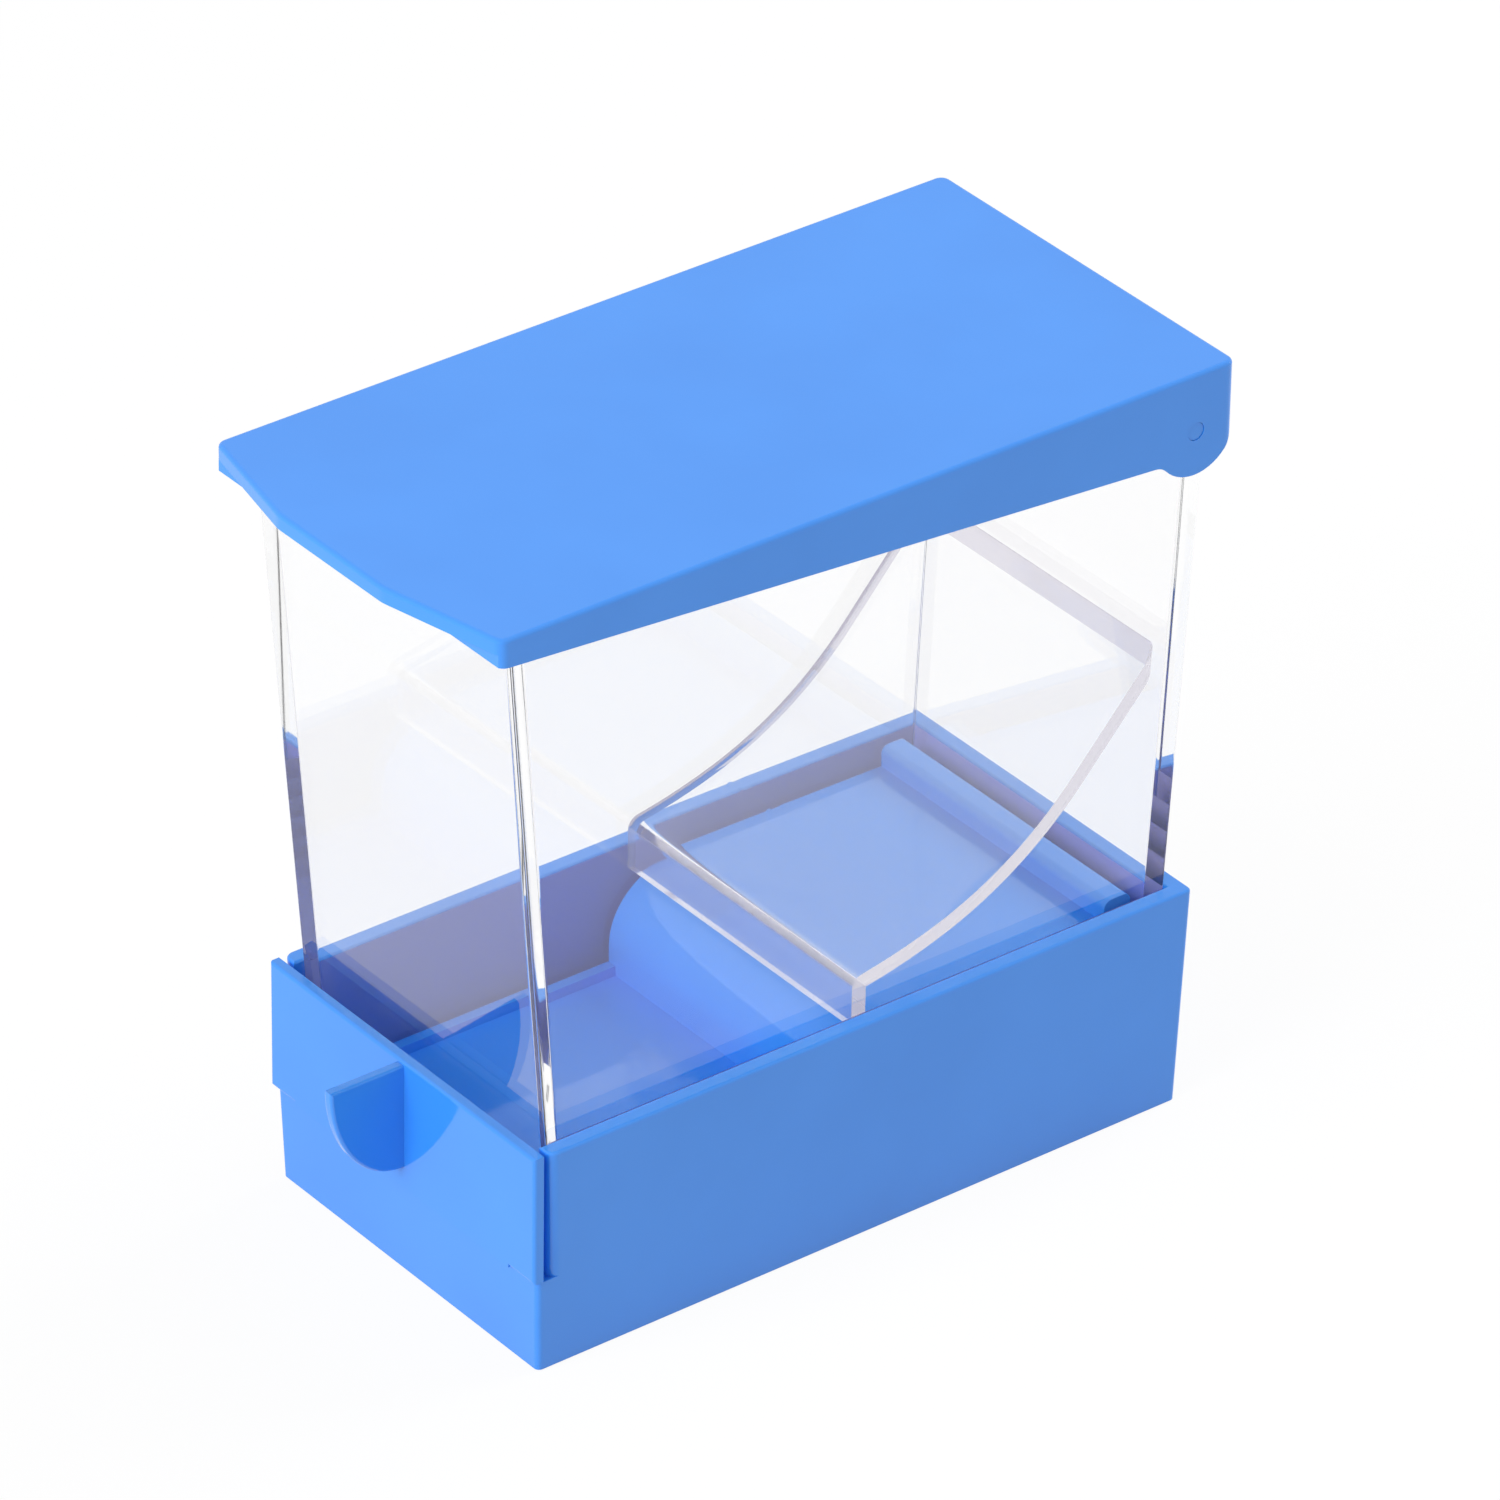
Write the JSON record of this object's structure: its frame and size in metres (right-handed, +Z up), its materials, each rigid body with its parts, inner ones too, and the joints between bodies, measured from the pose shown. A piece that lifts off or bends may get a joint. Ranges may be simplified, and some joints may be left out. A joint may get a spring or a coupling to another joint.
{
  "type": "cotton roll dispenser",
  "caption": "Countertop dispenser with a clear flared hopper, a curved chute, a skirted hinged lid and a pull drawer in a drafted base.",
  "frame": {"origin": "middle of the footprint, on the surface the base stands on", "axes": "+Z up; -Y the way the drawer pulls out; +X across the width"},
  "size_m": [0.0602, 0.1218, 0.1131],
  "materials": {
    "blue_plastic": "glossy moulded plastic",
    "clear_plastic": "clear polished plastic"
  },
  "bodies": {
    "stand": {"base": "blue_plastic", "hopper": "clear_plastic", "chute": "clear_plastic", "hinge_pin_left": "blue_plastic", "hinge_pin_right": "blue_plastic"},
    "drawer_tray": {"drawer": "blue_plastic"},
    "lid_cover": {"lid": "blue_plastic"}
  },
  "joints": [
    {"name": "drawer_slide", "type": "slide", "parent": "stand", "child": "drawer_tray", "axis": [0, -1, 0], "range_m": [0, 0.0395]},
    {"name": "lid_hinge", "type": "hinge", "parent": "stand", "child": "lid_cover", "pos_m": [0, 0.05449, 0.1046], "axis": [-1, 0, 0], "range_deg": [0, 100]}
  ]
}
